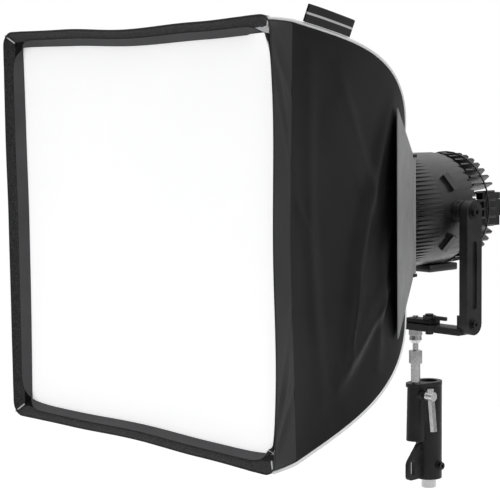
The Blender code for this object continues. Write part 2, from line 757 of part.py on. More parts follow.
def build_yoke_arm(name, x_side):
    middle = x_side * (ARM_INNER + ARM_OUTER) / 2
    centre_y = HEAD_Y + 0.003
    outline = stadium((centre_y, HUB_Z), (centre_y, AXIS_Z), 0.0185)
    arm = plate(name, outline, ARM_OUTER - ARM_INNER, Matrix.Translation((middle, 0, 0)) @ YZ_PLANE, CASTING)
    start = 0.100 if x_side > 0 else -0.135
    cut_round(arm, (start, HEAD_Y, AXIS_Z), 0.035, 0.0053, "X", sides=24)
    cut_round(arm, (start, HEAD_Y, HUB_Z), 0.035, 0.0044, "X", sides=24)
    groove = stadium((centre_y, 0.3285), (centre_y, 0.4300), 0.006, 8)
    cutter = plate(f"{name}_groove", groove, 0.008,
                   Matrix.Translation((x_side * ARM_OUTER, 0, 0)) @ YZ_PLANE, None, CUTTERS)
    boolean(arm, cutter, "DIFFERENCE")
    return arm


def build_crossbar():
    """An inverted channel with an upturned tab at each end for the arm's hub bolt."""
    half = 0.017
    inner = ARM_INNER - GAP
    bar = box("yoke_crossbar", (-inner, HEAD_Y - half, BAR_BOTTOM), (inner, HEAD_Y + half, BAR_TOP), BLACK_METAL)
    cut_box(bar, (-0.095, HEAD_Y - half + 0.003, BAR_BOTTOM - 0.01),
            (-0.014, HEAD_Y + half - 0.003, BAR_TOP - 0.004))
    cut_box(bar, (0.046, HEAD_Y - half + 0.003, BAR_BOTTOM - 0.01),
            (0.095, HEAD_Y + half - 0.003, BAR_TOP - 0.004))
    for x in (1, -1):
        low, high = sorted((x * inner, x * (inner - 0.006)))
        tab = box("tab", (low, HEAD_Y - 0.014, BAR_BOTTOM + 0.002), (high, HEAD_Y + 0.014, HUB_Z + 0.014), None)
        join(bar, tab)
    cut_round(bar, (-0.13, HEAD_Y, HUB_Z), 0.26, 0.0044, "X", sides=24)
    cut_round(bar, (0, HEAD_Y, 0.27), 0.03, 0.0052, "Z", sides=24)
    cut_round(bar, (CLAMP_X, HEAD_Y, 0.27), 0.03, 0.0042, "Z", sides=24)
    for name, x in (("near", 1), ("far", -1)):
        side_bolt(f"hub_bolt_{name}", x, HUB_Z, 0.099, 0.0040, (0.0012, 0.009), 0.0065, 0.0055, 0.0032)


def build_bar_clamp():
    """Block and swinging lever on top of the crossbar, with the bolt and nut that they pull on."""
    top = BAR_TOP + GAP
    block = box("clamp_block", (-0.013, HEAD_Y - 0.012, top), (0.045, HEAD_Y + 0.012, top + 0.0078),
                BLACK_METAL, 0.0012)
    cut_round(block, (0, HEAD_Y, top - 0.01), 0.03, 0.0052, "Z", sides=24)
    cut_round(block, (CLAMP_X, HEAD_Y, top - 0.01), 0.03, 0.0042, "Z", sides=24)
    outline = arc((0, 0), 0.011, 22, 338, 20) + [(0.020, -0.0032), (0.037, -0.0028), (0.037, 0.0028), (0.020, 0.0032)]
    lever_bottom = top + 0.0078 + GAP
    place = Matrix.Translation((CLAMP_X, HEAD_Y, lever_bottom + 0.003))
    lever = plate("clamp_lever", outline, 0.006, place, BLACK_METAL)
    cut_round(lever, (CLAMP_X, HEAD_Y, lever_bottom - 0.01), 0.03, 0.0042, "Z", sides=24)
    bolt = rod("clamp_bolt", (CLAMP_X, HEAD_Y, 0.2735), lever_bottom + 0.0075 - 0.2735, 0.0039, STEEL, sides=20)
    join(bolt, rod("cap", (CLAMP_X, HEAD_Y, lever_bottom + 0.0060 + GAP), 0.0025, 0.0070, None, sides=20))
    join(bolt, rod("nut", (CLAMP_X, HEAD_Y, 0.2730), BAR_BOTTOM - GAP - 0.2730, 0.0068, None, sides=6))


def build_spigot():
    """Turned steel spigot: socket pin, hexagon, neck, rounded shoulder, hexagon and top stud."""
    y = HEAD_Y
    pin = rod("spigot", (0, y, 0.108), 0.2205 - 0.108, PIN_RADIUS, STEEL, sides=24)
    pieces = [
        (0.2200, 0.0220, 0.0115, 0.0115, 6), (0.2415, 0.0140, 0.0048, 0.0048, 16),
        (0.2550, 0.0060, 0.0070, 0.0108, 24), (0.2605, 0.0085, 0.0108, 0.0100, 24),
        (0.2685, BAR_BOTTOM - GAP - 0.2685, 0.0118, 0.0118, 6), (0.2780, 0.0240, 0.0048, 0.0048, 16),
    ]
    for z, height, radius, end_radius, sides in pieces:
        join(pin, rod("spigot_part", (0, y, z), height, radius, None, "Z", end_radius, sides))


# ---------------------------------------------------------------- stand adapter

def build_adapter():
    """One casting: a large receiver tube and a smaller pin socket under a common top flange."""
    socket_y = HEAD_Y
    adapter = rod("stand_adapter", (0, 0, ADAPTER_BOTTOM), ADAPTER_TOP - ADAPTER_BOTTOM, 0.0225, CASTING, sides=36)
    socket_bottom = 0.087
    join(adapter, rod("socket", (0, socket_y, socket_bottom), ADAPTER_TOP - 0.001 - socket_bottom, 0.0162, None,
                      "Z", 0.0140, 28))
    web = box("web", (-0.0135, socket_y, socket_bottom + 0.003), (0.0135, 0.0, ADAPTER_TOP - 0.0012), None)
    join(adapter, web)
    ring = arc((0, 0), 0.0230, -20, 200, 16) + arc((0, socket_y), 0.0168, 190, 350, 12)
    join(adapter, plate("flange", ring, 0.0065, Matrix.Translation((0, 0, ADAPTER_TOP - 0.0030)), None))
    ear = [(-0.015, EAR_TOP), (-0.030, EAR_TOP), (-0.054, 0.052), (-0.056, 0.046)]
    ear += arc((-0.049, 0.0265), 0.007, 180, 270, 5) + [(-0.015, 0.0195)]
    join(adapter, plate("ear", ear, 0.008, YZ_PLANE, None))
    join(adapter, rod("t_boss", (0.005, socket_y, T_SCREW_Z), 0.017, 0.0095, None, "X", sides=32))
    join(adapter, rod("low_boss", (0.015, 0, 0.0410), 0.0105, 0.0082, None, "X", sides=32))
    cut_round(adapter, (0, 0, 0.110), 0.10, 0.0147, sides=32)
    cut_round(adapter, (0, 0, -0.01), 0.105, STUD_RADIUS + GAP, sides=32)
    cut_round(adapter, (0, socket_y, 0.103), 0.10, PIN_RADIUS + GAP, sides=24)
    cut_round(adapter, (0.0, socket_y, T_SCREW_Z), 0.05, 0.0053, "X", sides=16)
    cut_round(adapter, (0.0, 0, 0.0410), 0.05, 0.0042, "X", sides=16)
    slot = stadium((-0.0455, 0.0300), (-0.0455, 0.0500), 0.0048, 8)
    boolean(adapter, plate("ear_slot", slot, 0.03, YZ_PLANE, None, CUTTERS), "DIFFERENCE")


def build_adapter_fittings():
    y, z = HEAD_Y, T_SCREW_Z
    rod("pressure_pad", (PIN_RADIUS + 2 * GAP, y, z), 0.0022, 0.0045, STEEL, "X", sides=20)
    rod("t_screw", (PIN_RADIUS + 2 * GAP + 0.0025, y, z), 0.0255, 0.0050, STEEL, "X", sides=24)
    handle = rod("t_handle", (0.0262, y, z), 0.0150, 0.0078, STEEL, "X", sides=28)
    lean = math.radians(6)
    lever = bmesh.new()
    add_box(lever, (-0.0038, -0.0042, -0.060), (0.0038, 0.0042, -0.004))
    lever.transform(Matrix.Translation((0.0345, y, z)) @ Matrix.Rotation(-lean, 4, "Y"))
    join(handle, add_mesh("lever", lever, None, CUTTERS))
    stub = bmesh.new()
    add_box(stub, (-0.0036, -0.0040, 0.004), (0.0036, 0.0040, 0.0125))
    stub.transform(Matrix.Translation((0.0335, y, z)))
    join(handle, add_mesh("lever_stub", stub, None, CUTTERS))
    cut_round(handle, (0.020, y, z), 0.0174, 0.0053, "X", sides=24)
    low = rod("stud_clamp_screw", (STUD_RADIUS + 2 * GAP, 0, 0.0410), 0.0145, 0.0039, BLACK_METAL, "X", sides=20)
    join(low, rod("low_head", (0.0258, 0, 0.0410), 0.0050, 0.0062, None, "X", sides=24))
    cut_round(low, (0.0280, 0, 0.0410), 0.006, 0.0030, "X", sides=6)
    stud = rod("stand_stud", (0, 0, 0), 0.0925, STUD_RADIUS, STEEL, sides=32)
    add_bevel(stud, 0.001, 1)


build_bag()
build_label()
build_strap()
build_leaves()
build_door_frame()
build_barrel()
build_body()
build_optics()
build_heatsink()
build_body_fittings()
build_pivots()
build_yoke_arm("yoke_arm_near", 1)
build_yoke_arm("yoke_arm_far", -1)
build_crossbar()
build_bar_clamp()
build_spigot()
build_adapter()
build_adapter_fittings()
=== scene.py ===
import math

import bpy
from mathutils import Matrix, Vector


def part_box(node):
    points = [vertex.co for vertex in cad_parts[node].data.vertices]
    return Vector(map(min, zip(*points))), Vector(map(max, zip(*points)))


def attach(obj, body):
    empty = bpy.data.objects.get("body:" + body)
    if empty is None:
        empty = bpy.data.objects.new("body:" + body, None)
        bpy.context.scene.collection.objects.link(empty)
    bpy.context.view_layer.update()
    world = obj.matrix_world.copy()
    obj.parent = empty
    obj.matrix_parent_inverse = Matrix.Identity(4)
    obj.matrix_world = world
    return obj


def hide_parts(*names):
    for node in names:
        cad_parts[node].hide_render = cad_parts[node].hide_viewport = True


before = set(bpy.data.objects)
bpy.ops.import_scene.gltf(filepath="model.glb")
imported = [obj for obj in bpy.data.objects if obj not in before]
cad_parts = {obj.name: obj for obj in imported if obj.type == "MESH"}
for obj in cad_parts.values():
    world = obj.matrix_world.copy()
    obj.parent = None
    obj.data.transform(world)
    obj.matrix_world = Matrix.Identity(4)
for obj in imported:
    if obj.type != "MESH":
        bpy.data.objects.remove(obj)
for name in ("Cube", "Light", "Camera"):
    if name in bpy.data.objects:
        bpy.data.objects.remove(bpy.data.objects[name])
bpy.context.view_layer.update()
bpy.ops.object.select_all(action="DESELECT")


# ---------------------------------------------------------------------------------------------
# Stand stud: the top end of a light stand, a bright steel spigot turned from 1 inch bar.
# The lathe leaves fine rings round it, and handling leaves it unevenly polished.
# ---------------------------------------------------------------------------------------------


def new_finish(name, colour, roughness, metallic=0.0, specular=0.5):
    """A material and its shader, with the values that are the same all over set on the shader."""
    material = bpy.data.materials.new(name)
    material.use_nodes = True
    shader = material.node_tree.nodes["Principled BSDF"]
    shader.inputs["Base Color"].default_value = (*colour, 1.0)
    shader.inputs["Roughness"].default_value = roughness
    shader.inputs["Metallic"].default_value = metallic
    shader.inputs["Specular IOR Level"].default_value = specular
    return material, shader


def add_node(material, kind, inputs=(), **settings):
    """A shader node with its settings made and its inputs set, or linked where they are sockets."""
    node = material.node_tree.nodes.new("ShaderNode" + kind)
    for setting, value in settings.items():
        setattr(node, setting, value)
    for socket, value in dict(inputs).items():
        if isinstance(value, bpy.types.NodeSocket):
            material.node_tree.links.new(value, node.inputs[socket])
        else:
            node.inputs[socket].default_value = value
    return node


def link_to(material, shader, socket, value):
    material.node_tree.links.new(value, shader.inputs[socket])


def object_place(material, stretch=(1.0, 1.0, 1.0)):
    """The point on the object in metres, stretched along each axis for a pattern with a grain."""
    place = add_node(material, "TexCoord").outputs["Object"]
    return add_node(material, "Mapping", {"Vector": place, "Scale": stretch}).outputs["Vector"]


def mottle(material, place, scale, detail=3.0):
    """A soft, uneven pattern from 0 to 1 with about this many patches to the metre."""
    inputs = {"Vector": place, "Scale": scale, "Detail": detail}
    return add_node(material, "TexNoise", inputs).outputs["Fac"]


def spread(material, value, low, high, start=0.3, end=0.7):
    """A pattern value drawn out between low and high."""
    inputs = {"Value": value, "From Min": start, "From Max": end, "To Min": low, "To Max": high}
    return add_node(material, "MapRange", inputs).outputs["Result"]


def tint(material, share, first, second):
    """A colour between two, by the share of the second."""
    mix = add_node(material, "Mix", data_type="RGBA")
    material.node_tree.links.new(share, mix.inputs["Factor"])
    mix.inputs[6].default_value = (*first, 1.0)
    mix.inputs[7].default_value = (*second, 1.0)
    return mix.outputs[2]


def set_bump(material, shader, height, depth, strength=1.0, rounding=0.0):
    """Raises the surface by a pattern, and rounds its edges off where rounding is given."""
    inputs = {"Height": height, "Distance": depth, "Strength": strength}
    if rounding:
        inputs["Normal"] = add_node(material, "Bevel", {"Radius": rounding}).outputs["Normal"]
    bump = add_node(material, "Bump", inputs)
    link_to(material, shader, "Normal", bump.outputs["Normal"])


def edge_share(material, width):
    """1 on edges of this width and 0 on open faces, for the wear that handling leaves on edges."""
    rounded = add_node(material, "Bevel", {"Radius": width}).outputs["Normal"]
    flat = add_node(material, "NewGeometry").outputs["True Normal"]
    across = add_node(material, "VectorMath", {0: rounded, 1: flat}, operation="DOT_PRODUCT")
    return spread(material, across.outputs["Value"], 1.0, 0.0, start=0.80, end=0.97)


def turned_metal(name, colour, roughness):
    """Metal off the lathe: rings across its axis, which is upright, and polished patches."""
    material, shader = new_finish(name, colour, roughness, metallic=1.0)
    rings = mottle(material, object_place(material, (2.0, 2.0, 1500.0)), 1.0)
    handled = mottle(material, object_place(material), 45.0)
    link_to(material, shader, "Roughness", spread(material, handled, roughness - 0.07, roughness + 0.1))
    paler = tuple(0.82 * part for part in colour)
    link_to(material, shader, "Base Color", tint(material, spread(material, rings, 0.0, 1.0), colour, paler))
    set_bump(material, shader, rings, 0.00002, 0.6, rounding=0.0005)
    return material


def dress(material, *names):
    """Gives CAD nodes their finish, with round faces shaded smooth and edges kept crisp."""
    for name in names:
        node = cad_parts[name]
        for slot in node.material_slots:
            slot.material = material
        bpy.context.view_layer.objects.active = node
        bpy.ops.mesh.customdata_custom_splitnormals_clear()
        node.data.shade_smooth()
        joined = node.modifiers.new("joined faces", "WELD")
        joined.merge_threshold = 0.000004
        crisp = node.modifiers.new("crisp edges", "EDGE_SPLIT")
        crisp.split_angle = math.radians(33)


BRIGHT_STEEL = turned_metal("turned bright steel", (0.62, 0.62, 0.63), 0.24)
dress(BRIGHT_STEEL, "stand_stud")


# ---------------------------------------------------------------------------------------------
# Stand adapter: a cast aluminium body in grainy black powder coat, which slips over the stud.
# It holds the lamp's spigot in its front tube. The coat is thin and rubbed bare on the edges.
# ---------------------------------------------------------------------------------------------


def powder_coat(name, colour, roughness, grain, wear, worn_to=(0.16, 0.16, 0.165)):
    """Baked powder coat: an orange-peel grain this many times to the metre, worn at the edges."""
    material, shader = new_finish(name, colour, roughness, specular=0.24)
    place = object_place(material)
    peel = mottle(material, place, grain, 2.0)
    dust = mottle(material, place, 28.0, 5.0)
    scuffs = spread(material, mottle(material, place, 160.0, 4.0), 0.0, wear, start=0.42, end=0.62)
    worn = add_node(material, "Math", {0: scuffs, 1: edge_share(material, 0.0012)}, operation="MULTIPLY")
    greyer = tuple(part * 1.9 + 0.004 for part in colour)
    coat = add_node(material, "Mix", data_type="RGBA")
    material.node_tree.links.new(worn.outputs["Value"], coat.inputs["Factor"])
    unworn = tint(material, spread(material, dust, 0.0, 1.0), colour, greyer)
    material.node_tree.links.new(unworn, coat.inputs[6])
    coat.inputs[7].default_value = (*worn_to, 1.0)
    link_to(material, shader, "Base Color", coat.outputs[2])
    link_to(material, shader, "Roughness", spread(material, dust, roughness - 0.06, roughness + 0.1))
    set_bump(material, shader, peel, 0.00012, 0.5, rounding=0.0007)
    return material


CASTING_COAT = powder_coat("grainy black powder coat", (0.006, 0.006, 0.0065), 0.38, 1300.0, 0.6)
dress(CASTING_COAT, "stand_adapter")


# ---------------------------------------------------------------------------------------------
# Adapter screws: the knurled lower screw, the pressure pad and the silver T-handled lock screw.
# They are plated steel, and the lower screw is blacked.
# ---------------------------------------------------------------------------------------------


def plated_metal(name, colour, roughness):
    """Plated and tumbled steel, with a faint cloudiness and small scratches."""
    material, shader = new_finish(name, colour, roughness, metallic=1.0)
    place = object_place(material)
    cloud = mottle(material, place, 90.0, 4.0)
    scratches = mottle(material, object_place(material, (40.0, 900.0, 900.0)), 1.0, 2.0)
    link_to(material, shader, "Roughness", spread(material, cloud, roughness - 0.08, roughness + 0.12))
    duller = tuple(0.75 * part for part in colour)
    link_to(material, shader, "Base Color", tint(material, spread(material, cloud, 0.0, 1.0), colour, duller))
    set_bump(material, shader, scratches, 0.00003, 0.4, rounding=0.0005)
    return material


PLATED_STEEL = plated_metal("plated steel", (0.66, 0.66, 0.67), 0.26)
BLACK_STEEL = plated_metal("blacked steel", (0.05, 0.05, 0.052), 0.36)
dress(PLATED_STEEL, "t_handle", "t_screw", "pressure_pad")
dress(BLACK_STEEL, "stud_clamp_screw")


# ---------------------------------------------------------------------------------------------
# Spigot: a bright steel pin turned with a hexagon, a thin neck and a rounded shoulder.
# It drops into the adapter and is bolted up through the yoke's crossbar.
# ---------------------------------------------------------------------------------------------

dress(BRIGHT_STEEL, "spigot")


# ---------------------------------------------------------------------------------------------
# Yoke: two flat cast arms and a crossbar in satin black, bolted together at the lower hubs.
# The clamp block on the bar has a black plastic lever on a steel bolt.
# ---------------------------------------------------------------------------------------------

YOKE_COAT = powder_coat("satin black yoke coat", (0.008, 0.008, 0.0085), 0.42, 1800.0, 0.4)
dress(YOKE_COAT, "yoke_crossbar", "yoke_arm_near", "yoke_arm_far", "clamp_block")
dress(BLACK_STEEL, "hub_bolt_near", "hub_bolt_far", "clamp_bolt")


def moulded_plastic(name, colour, roughness):
    """Moulded plastic with a fine spark-eroded grain."""
    material, shader = new_finish(name, colour, roughness, specular=0.45)
    place = object_place(material)
    grain = mottle(material, place, 2600.0, 2.0)
    rubbed = mottle(material, place, 70.0, 3.0)
    link_to(material, shader, "Roughness", spread(material, rubbed, roughness - 0.1, roughness + 0.08))
    set_bump(material, shader, grain, 0.00008, 0.4, rounding=0.0006)
    return material


BLACK_PLASTIC = moulded_plastic("moulded black plastic", (0.014, 0.014, 0.015), 0.45)
dress(BLACK_PLASTIC, "clamp_lever")


# ---------------------------------------------------------------------------------------------
# Lamp head: a ribbed aluminium barrel, a smooth body and a cage of radial cooling fins behind.
# All of it is die cast and anodised black, with a softer sheen than the adapter.
# ---------------------------------------------------------------------------------------------


def anodised(name, colour, roughness):
    """Black anodised aluminium: a metallic sheen under the dye, thin and paler on the edges."""
    material, shader = new_finish(name, colour, roughness, metallic=0.1, specular=0.55)
    place = object_place(material)
    blast = mottle(material, place, 3200.0, 2.0)
    cloud = mottle(material, place, 24.0, 4.0)
    paler = tuple(part * 1.7 + 0.003 for part in colour)
    dye = add_node(material, "Mix", data_type="RGBA")
    material.node_tree.links.new(edge_share(material, 0.0009), dye.inputs["Factor"])
    unworn = tint(material, spread(material, cloud, 0.0, 1.0), colour, paler)
    material.node_tree.links.new(unworn, dye.inputs[6])
    dye.inputs[7].default_value = (0.042, 0.042, 0.043, 1.0)
    link_to(material, shader, "Base Color", dye.outputs[2])
    link_to(material, shader, "Roughness", spread(material, cloud, roughness - 0.05, roughness + 0.07))
    set_bump(material, shader, blast, 0.00006, 0.5, rounding=0.0006)
    return material


LAMP_BLACK = anodised("black anodised lamp casting", (0.006, 0.006, 0.0064), 0.30)
dress(LAMP_BLACK, "body_shell", "ribbed_barrel", "rear_heatsink", "fin_ring", "body_foot")
dress(LAMP_BLACK, "pivot_boss_near", "pivot_boss_far")
dress(BLACK_STEEL, "tilt_bolt_near", "tilt_bolt_far")
dress(BLACK_PLASTIC, "power_inlet")


# ---------------------------------------------------------------------------------------------
# Optics: the LED board on its heat spreader, the reflector and a stepped lens in its ring.
# They sit inside the barrel and light the back of the bag.
# ---------------------------------------------------------------------------------------------

BARE_ALUMINIUM = plated_metal("bright reflector aluminium", (0.83, 0.83, 0.84), 0.2)
PHOSPHOR, phosphor_shader = new_finish("yellow LED phosphor", (0.86, 0.68, 0.12), 0.5)
phosphor_dots = mottle(PHOSPHOR, object_place(PHOSPHOR), 900.0)
phosphor_share = spread(PHOSPHOR, phosphor_dots, 0.0, 1.0)
phosphor_grain = tint(PHOSPHOR, phosphor_share, (0.9, 0.72, 0.14), (0.7, 0.5, 0.08))
link_to(PHOSPHOR, phosphor_shader, "Base Color", phosphor_grain)
LENS_GLASS, glass_shader = new_finish("pressed lens glass", (0.9, 0.94, 0.95), 0.06)
glass_shader.inputs["Transmission Weight"].default_value = 0.9
glass_waves = mottle(LENS_GLASS, object_place(LENS_GLASS), 60.0)
set_bump(LENS_GLASS, glass_shader, glass_waves, 0.0002, 0.3)
dress(BARE_ALUMINIUM, "heat_spreader", "reflector")
dress(PHOSPHOR, "led_module")
dress(LAMP_BLACK, "lens_ring")
dress(LENS_GLASS, "stepped_lens")


# ---------------------------------------------------------------------------------------------
# Barn doors: a square steel frame clipped to the barrel, with four sheet leaves on hinge pins.
# The side leaves stand outside the bag and the other two lie inside it. All are painted grey.
# ---------------------------------------------------------------------------------------------


def painted_sheet(name, colour, roughness):
    """Rolled sheet in satin grey paint, with faint rolling lines and finger marks."""
    material, shader = new_finish(name, colour, roughness, metallic=0.25, specular=0.5)
    rolled = mottle(material, object_place(material, (900.0, 900.0, 120.0)), 1.0, 2.0)
    marks = mottle(material, object_place(material), 22.0, 5.0)
    darker = tuple(0.8 * part for part in colour)
    link_to(material, shader, "Base Color", tint(material, spread(material, marks, 0.0, 1.0), colour, darker))
    link_to(material, shader, "Roughness", spread(material, marks, roughness - 0.07, roughness + 0.08))
    set_bump(material, shader, rolled, 0.00003, 0.35, rounding=0.0004)
    return material


GREY_PAINT = painted_sheet("satin grey sheet paint", (0.26, 0.26, 0.265), 0.42)
dress(GREY_PAINT, "leaf_near", "leaf_far", "leaf_top", "leaf_bottom")
dress(LAMP_BLACK, "door_frame")
dress(PLATED_STEEL, "leaf_pin_near", "leaf_pin_far", "leaf_pin_top", "leaf_pin_bottom")


# ---------------------------------------------------------------------------------------------
# Bag frame: four glass-fibre rods round the front and four along the corners, in black sleeves.
# A folding elbow stands midway along each front rod, and nylon connectors join the corners.
# ---------------------------------------------------------------------------------------------


def sleeved_rod(name):
    """Glass-fibre rod in a braided black sleeve, seen as small slanting strands."""
    material, shader = new_finish(name, (0.02, 0.02, 0.021), 0.6)
    place = object_place(material)
    strands = mottle(material, place, 1500.0, 1.0)
    colours = tint(material, strands, (0.01, 0.01, 0.01), (0.045, 0.045, 0.047))
    link_to(material, shader, "Base Color", colours)
    set_bump(material, shader, strands, 0.0002, 0.6)
    return material


ROD_SLEEVE = sleeved_rod("black braided rod sleeve")
SIDES = {"near": 0, "top": 1, "far": 2, "bottom": 3}
dress(ROD_SLEEVE, *(f"frame_rod_{side}" for side in SIDES))
dress(ROD_SLEEVE, *(f"corner_rod_{end}_{level}" for end in ("near", "far") for level in ("top", "bottom")))


# ---------------------------------------------------------------------------------------------
# Side panels: four tapering pieces of black nylon, silvered inside, sewn along the corners.
# They curve in to the neck, hollow between the corners, and keep folds from being packed.
# ---------------------------------------------------------------------------------------------

LAMP_AXIS_Y = -0.034
LAMP_AXIS_Z = 0.4835
PIVOT_BEHIND_FRONT = 0.616
FRONT_HALF = 0.300
NECK_HALF = 0.103
LIP_DEPTH = 0.0465
NECK_DEPTH = 0.468
FRONT_SAG = 0.006
ARCH_HEIGHT = 0.0045
SEAM_TAPER = 0.41
PANEL_HOLLOW = 0.030
SEAM_ALLOWANCE = 0.0045 * 0.6
NYLON_THICKNESS = 0.0008
# How far each front edge stands out past a straight line, at even steps from its low X or Z end.
EDGE_LINES = {
    "near": (0.002, 0.0065, 0.0030, 0.0055, 0.001),
    "far": (0.001, 0.0020, 0.0030, 0.0060, 0.006),
    "top": (0.0, -0.0015, -0.0075, -0.0035, 0.001),
    "bottom": (0.0, -0.0015, -0.0045, -0.0010, 0.002),
}


def edge_line(side, share):
    """How far a front edge stands out at this share of its length, eased between the steps."""
    steps = EDGE_LINES[side]
    place = max(0.0, min(0.999, share)) * (len(steps) - 1)
    step = int(place)
    eased = (1 - math.cos(math.pi * (place - step))) / 2
    return steps[step] + (steps[step + 1] - steps[step]) * eased


def lift(depth):
    """How far the middle of the bag arches up between its front and its neck."""
    return ARCH_HEIGHT * math.sin(math.pi * max(0.0, min(1.0, depth / NECK_DEPTH)) ** 1.4)


def place_on_side(side, depth, out, along):
    """A point on one side of the bag: behind the front plane, out from the axis, along the side."""
    turn = SIDES[side] * math.pi / 2
    x = out * math.cos(turn) - along * math.sin(turn)
    z = out * math.sin(turn) + along * math.cos(turn)
    slack = max(0.0, 1 - depth / NECK_DEPTH) ** 3
    x_share, z_share = x / FRONT_HALF, z / FRONT_HALF
    x_edge = edge_line("near" if x > 0 else "far", (z_share + 1) / 2)
    z_edge = edge_line("top" if z > 0 else "bottom", (x_share + 1) / 2)
    x += math.copysign(slack * x_share**4, x) * x_edge
    z += math.copysign(slack * z_share**4, z) * z_edge
    droop = FRONT_SAG * (1 - depth / NECK_DEPTH) - lift(depth)
    return Vector((x, LAMP_AXIS_Y + depth - PIVOT_BEHIND_FRONT, LAMP_AXIS_Z - droop + z))


def seam_half(depth):
    """Half the bag's width between its corner seams."""
    back = depth / NECK_DEPTH
    return FRONT_HALF - (FRONT_HALF - NECK_HALF) * (SEAM_TAPER * back + (1 - SEAM_TAPER) * back**4)


def hollow(depth):
    """How far a side is pulled in midway between its seams."""
    back = depth / NECK_DEPTH
    return PANEL_HOLLOW * math.sin(math.pi * back)


def fold_height(folds, depth, along):
    """How far folds raise the cloth. A fold runs between two points, with a half width and height."""
    height = 0.0
    here = Vector((depth, along))
    for start, end, half_width, rise in folds:
        first, last = Vector(start), Vector(end)
        run = last - first
        share = max(0.0, min(1.0, (here - first).dot(run) / run.length_squared))
        distance = (here - first - share * run).length
        height += rise * math.exp(-((distance / half_width) ** 2)) * math.sin(math.pi * (0.08 + 0.84 * share))
    return height


def cloth_grid(name, columns, rows, shape, size):
    """A grid of cloth laid out by shape(u, v), each from -1 to 1, with its UV map in metres."""
    bpy.ops.mesh.primitive_grid_add(x_subdivisions=columns, y_subdivisions=rows, size=2, calc_uvs=True)
    cloth = bpy.context.object
    cloth.name = name
    for vertex in cloth.data.vertices:
        vertex.co = shape(vertex.co.x, vertex.co.y)
    for corner in cloth.data.uv_layers.active.data:
        corner.uv = (corner.uv.x * size[0], corner.uv.y * size[1])
    return cloth


def apply_modifiers(piece):
    for modifier in list(piece.modifiers):
        bpy.ops.object.modifier_apply(modifier=modifier.name)


def give_thickness(cloth, thickness, lining=False):
    """Thickens cloth both ways, turns its faces outwards and shades it smooth."""
    shell = cloth.modifiers.new("thickness", "SOLIDIFY")
    shell.thickness = thickness
    shell.offset = 0.0
    if lining:
        shell.material_offset = 1
    apply_modifiers(cloth)
    bpy.ops.object.mode_set(mode="EDIT")
    bpy.ops.mesh.select_all(action="SELECT")
    bpy.ops.mesh.normals_make_consistent(inside=False)
    bpy.ops.object.mode_set(mode="OBJECT")
    bpy.ops.object.shade_smooth_by_angle(angle=math.radians(50))


def stripes(material, per_metre, direction):
    """Even stripes along one side of the piece's own UV map, rising from 0 to 1 and back."""
    place = add_node(material, "TexCoord").outputs["UV"]
    inputs = {"Vector": place, "Scale": per_metre * math.tau / 20}
    return add_node(material, "TexWave", inputs, bands_direction=direction).outputs["Fac"]


def weave_height(material, threads):
    """Plain weave: warp and weft ridges, this many to the metre each way."""
    ridges = {0: stripes(material, threads, "X"), 1: stripes(material, threads, "Y")}
    return add_node(material, "Math", ridges, operation="MULTIPLY").outputs["Value"]


def nylon(name, colour, roughness, shading=1.5, shine=0.12):
    """Coated nylon: a close plain weave with a slight shine, dusty in places."""
    material, shader = new_finish(name, colour, roughness, specular=shine)
    place = object_place(material)
    dust = mottle(material, place, 11.0, 6.0)
    dusty = tuple(part * shading + 0.002 for part in colour)
    link_to(material, shader, "Base Color", tint(material, spread(material, dust, 0.0, 1.0), colour, dusty))
    link_to(material, shader, "Roughness", spread(material, dust, roughness - 0.05, roughness + 0.08))
    set_bump(material, shader, weave_height(material, 900.0), 0.00005, 0.5)
    return material


BLACK_NYLON = nylon("black coated nylon", (0.0055, 0.0055, 0.0058), 0.38)
SILVER_LINING, lining_shader = new_finish("silvered lining", (0.75, 0.75, 0.76), 0.35, metallic=0.8)
crinkle = mottle(SILVER_LINING, object_place(SILVER_LINING), 180.0)
set_bump(SILVER_LINING, lining_shader, crinkle, 0.0004, 0.5)

# Each fold: from (depth, along), to (depth, along), half width, rise.
FOLDS = {
    "near": [
        ((0.33, 0.17), (0.20, -0.16), 0.020, 0.0090),
        ((0.40, 0.10), (0.27, -0.20), 0.013, 0.0070),
        ((0.24, -0.07), (0.19, -0.19), 0.007, 0.0050),
        ((0.09, 0.24), (0.12, -0.22), 0.016, 0.0035),
        ((0.16, 0.22), (0.30, 0.02), 0.016, 0.0060),
        ((0.36, -0.08), (0.16, -0.21), 0.011, 0.0065),
        ((0.06, 0.06), (0.11, -0.02), 0.010, 0.0025),
    ],
    "top": [
        ((0.10, -0.20), (0.30, 0.02), 0.022, 0.0050),
        ((0.08, 0.20), (0.28, -0.04), 0.016, 0.0045),
        ((0.36, -0.12), (0.34, 0.12), 0.014, -0.0035),
    ],
    "far": [
        ((0.33, -0.17), (0.18, 0.16), 0.020, 0.0055),
        ((0.38, 0.14), (0.16, -0.20), 0.016, 0.0045),
        ((0.10, 0.22), (0.12, -0.18), 0.016, 0.0035),
    ],
    "bottom": [
        ((0.12, -0.18), (0.34, 0.10), 0.024, 0.0055),
        ((0.10, 0.22), (0.26, 0.00), 0.014, 0.0045),
        ((0.38, -0.10), (0.30, 0.12), 0.014, 0.0035),
    ],
}
PANEL_CUT = (0.592, 0.520)


def panel_shape(side):
    def shape(u, v):
        depth = LIP_DEPTH + (NECK_DEPTH - LIP_DEPTH) * (v + 1) / 2
        half = seam_half(depth)
        along = -u * (half - SEAM_ALLOWANCE)
        free = min(1.0, (1 - abs(u)) / 0.12) * min(1.0, (1 - abs(v)) / 0.08)
        out = half - hollow(depth) * (1 - u**2) + free * fold_height(FOLDS[side], depth, along)
        return place_on_side(side, depth, out - NYLON_THICKNESS / 2, along)
    return shape


